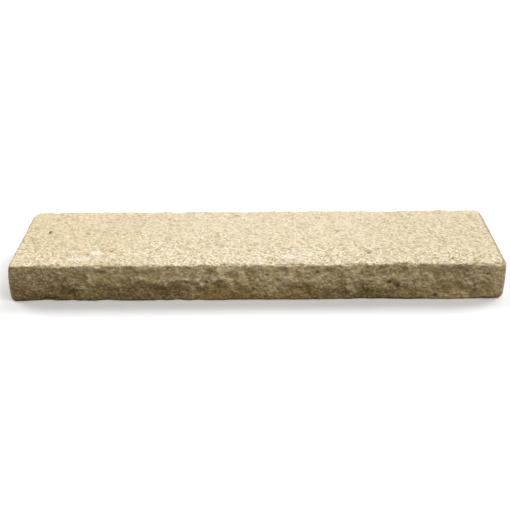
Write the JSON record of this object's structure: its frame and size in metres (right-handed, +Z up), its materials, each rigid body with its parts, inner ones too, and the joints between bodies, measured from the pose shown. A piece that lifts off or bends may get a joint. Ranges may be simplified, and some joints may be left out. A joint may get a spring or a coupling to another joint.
{
  "type": "wall coping stone",
  "caption": "Flat rectangular coping of buff cast stone that caps a wall, with a granular top, pitched long faces, worn corners, eased arrises and a flat bed.",
  "frame": {"origin": "middle of the bed, the flat underside that is laid on the wall", "axes": "+X along the wall, -Y towards the shown long face, +Z up"},
  "size_m": [0.6, 0.15, 0.05],
  "materials": {
    "cast_stone": "matt, coarse granular buff"
  },
  "bodies": {
    "root": {"coping_stone": "cast_stone"}
  },
  "joints": []
}
